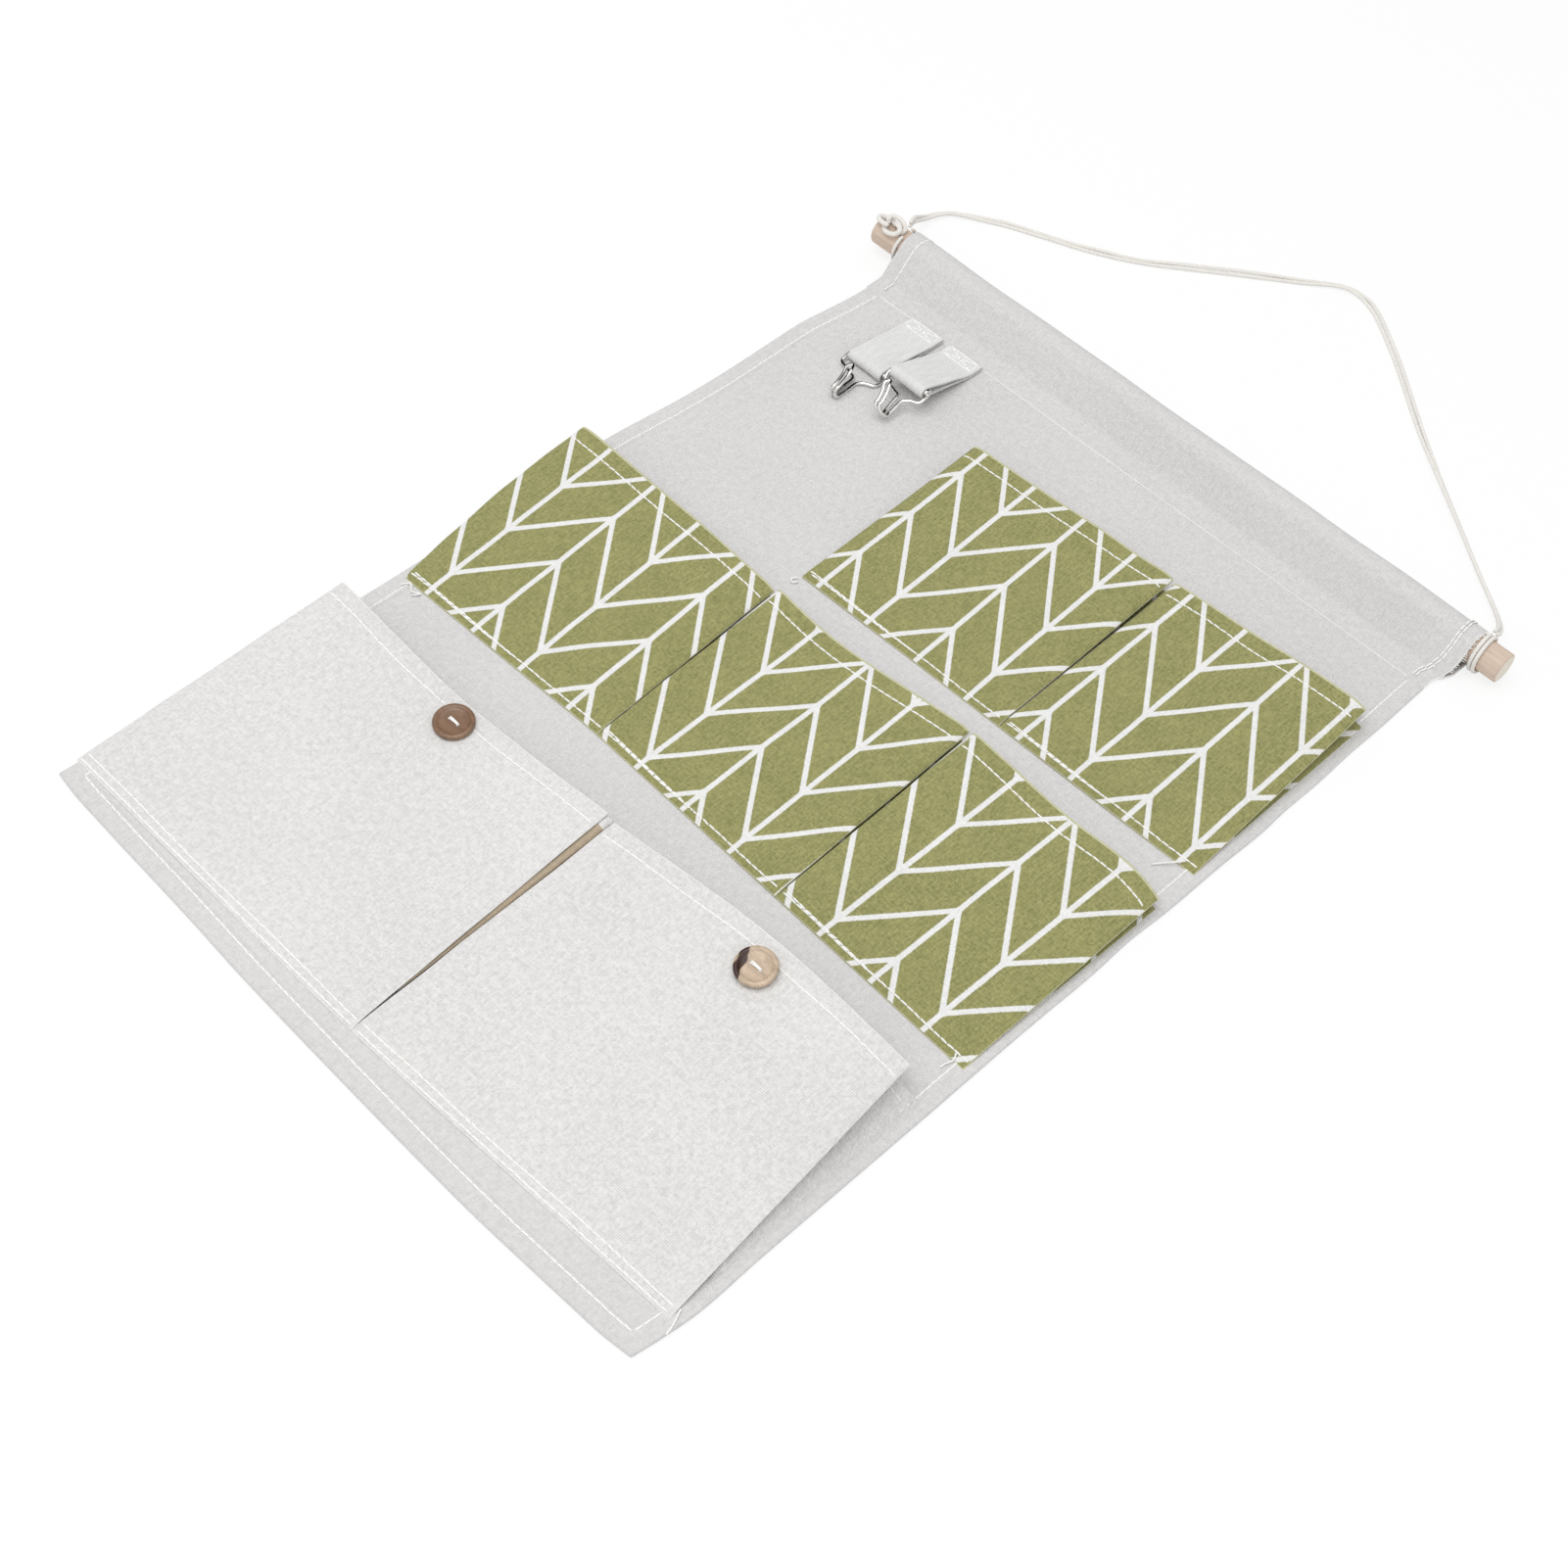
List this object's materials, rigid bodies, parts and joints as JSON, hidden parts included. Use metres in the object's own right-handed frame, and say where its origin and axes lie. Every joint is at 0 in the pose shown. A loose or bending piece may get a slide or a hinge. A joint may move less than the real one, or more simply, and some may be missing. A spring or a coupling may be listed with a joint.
{
  "type": "hanging pocket organizer",
  "caption": "Cloth wall organizer with rows of pleated pockets, a wooden dowel and hanging cord, buttons, and tabs with wire hooks.",
  "frame": {"origin": "middle of the footprint on the floor, with the hanging cord left out", "axes": "+X along the dowel, +Y up the panel towards the dowel, +Z out of the panel's front"},
  "size_m": [0.39, 0.6742, 0.0243],
  "materials": {
    "cream_canvas": "matte woven",
    "plain_canvas": "matte woven",
    "printed_cotton": "matte woven with a pale printed lattice",
    "pale_wood": "smooth unfinished",
    "cotton_cord": "twisted cotton",
    "webbing": "ribbed webbing",
    "nickel_wire": "bright plated",
    "brown_shell": "polished",
    "pale_shell": "polished",
    "white_thread": "matte thread"
  },
  "bodies": {
    "panel": {"back_panel": "cream_canvas", "dowel_sleeve": "cream_canvas", "left_tab_end": "webbing", "right_tab_end": "webbing", "upper_pocket_1_left_pleat": "printed_cotton", "upper_pocket_1_right_pleat": "printed_cotton", "upper_pocket_2_left_pleat": "printed_cotton", "upper_pocket_2_right_pleat": "printed_cotton", "middle_pocket_1_left_pleat": "printed_cotton", "middle_pocket_1_right_pleat": "printed_cotton", "middle_pocket_2_left_pleat": "printed_cotton", "middle_pocket_2_right_pleat": "printed_cotton", "middle_pocket_3_left_pleat": "printed_cotton", "middle_pocket_3_right_pleat": "printed_cotton", "lower_pocket_left_left_pleat": "plain_canvas", "lower_pocket_left_right_pleat": "plain_canvas", "lower_pocket_right_left_pleat": "plain_canvas", "lower_pocket_right_right_pleat": "plain_canvas"},
    "hanger": {"dowel": "pale_wood", "hanging_cord_near": "cotton_cord", "hanging_cord_far": "cotton_cord", "left_cord_knot": "cotton_cord", "left_cord_wraps": "cotton_cord", "right_cord_wraps": "cotton_cord"},
    "upper_pocket_1_flap": {"upper_pocket_1_front": "printed_cotton"},
    "upper_pocket_2_flap": {"upper_pocket_2_front": "printed_cotton"},
    "middle_pocket_1_flap": {"middle_pocket_1_front": "printed_cotton"},
    "middle_pocket_2_flap": {"middle_pocket_2_front": "printed_cotton"},
    "middle_pocket_3_flap": {"middle_pocket_3_front": "printed_cotton"},
    "lower_pocket_left_flap": {"lower_pocket_left_front": "plain_canvas", "left_button": "brown_shell", "left_button_thread": "white_thread"},
    "lower_pocket_right_flap": {"lower_pocket_right_front": "plain_canvas", "right_button": "pale_shell", "right_button_thread": "white_thread"},
    "left_tab": {"left_tab_loop": "webbing"},
    "left_hook": {"left_wire_hook": "nickel_wire"},
    "right_tab": {"right_tab_loop": "webbing"},
    "right_hook": {"right_wire_hook": "nickel_wire"}
  },
  "joints": [
    {"name": "hanger_swing", "type": "hinge", "parent": "panel", "child": "hanger", "pos_m": [0, 0.2484, 0.0102], "axis": [1, 0, 0], "range_deg": [0, 90]},
    {"name": "upper_pocket_1_opening", "type": "hinge", "parent": "panel", "child": "upper_pocket_1_flap", "pos_m": [-0.0554, 0.0529, 0.0019], "axis": [0.9997, 0.0227, 0], "range_deg": [0, 5], "deforming": ["upper_pocket_1_left_pleat", "upper_pocket_1_right_pleat"]},
    {"name": "upper_pocket_2_opening", "type": "hinge", "parent": "panel", "child": "upper_pocket_2_flap", "pos_m": [0.06206, 0.05557, 0.0019], "axis": [0.9997, 0.0227, 0], "range_deg": [0, 5], "deforming": ["upper_pocket_2_left_pleat", "upper_pocket_2_right_pleat"]},
    {"name": "middle_pocket_1_opening", "type": "hinge", "parent": "panel", "child": "middle_pocket_1_flap", "pos_m": [-0.1685, -0.0826, 0.0019], "axis": [1, 0, 0], "range_deg": [0, 5], "deforming": ["middle_pocket_1_left_pleat", "middle_pocket_1_right_pleat"]},
    {"name": "middle_pocket_2_opening", "type": "hinge", "parent": "panel", "child": "middle_pocket_2_flap", "pos_m": [-0.04682, -0.0826, 0.0019], "axis": [1, 0, 0], "range_deg": [0, 5], "deforming": ["middle_pocket_2_left_pleat", "middle_pocket_2_right_pleat"]},
    {"name": "middle_pocket_3_opening", "type": "hinge", "parent": "panel", "child": "middle_pocket_3_flap", "pos_m": [0.06286, -0.0826, 0.0019], "axis": [1, 0, 0], "range_deg": [0, 5], "deforming": ["middle_pocket_3_left_pleat", "middle_pocket_3_right_pleat"]},
    {"name": "lower_pocket_left_opening", "type": "hinge", "parent": "panel", "child": "lower_pocket_left_flap", "pos_m": [-0.174, -0.2464, 0.0019], "axis": [0.9999, 0.0157, 0], "range_deg": [0, 8], "deforming": ["lower_pocket_left_left_pleat", "lower_pocket_left_right_pleat"]},
    {"name": "lower_pocket_right_opening", "type": "hinge", "parent": "panel", "child": "lower_pocket_right_flap", "pos_m": [0.00027, -0.24366, 0.0019], "axis": [0.9999, 0.0157, 0], "range_deg": [0, 8], "deforming": ["lower_pocket_right_left_pleat", "lower_pocket_right_right_pleat"]},
    {"name": "left_tab_lift", "type": "hinge", "parent": "panel", "child": "left_tab", "pos_m": [-0.1322, 0.2091, 0.0043], "axis": [-1, 0, 0], "range_deg": [0, 60]},
    {"name": "left_hook_pivot", "type": "hinge", "parent": "left_tab", "child": "left_hook", "pos_m": [-0.1322, 0.1743, 0.0048], "axis": [-1, 0, 0], "range_deg": [0, 60]},
    {"name": "right_tab_lift", "type": "hinge", "parent": "panel", "child": "right_tab", "pos_m": [-0.1063, 0.2091, 0.0043], "axis": [-1, 0, 0], "range_deg": [0, 60]},
    {"name": "right_hook_pivot", "type": "hinge", "parent": "right_tab", "child": "right_hook", "pos_m": [-0.1063, 0.17516, 0.01202], "axis": [-1, 0, 0], "range_deg": [0, 60]}
  ]
}
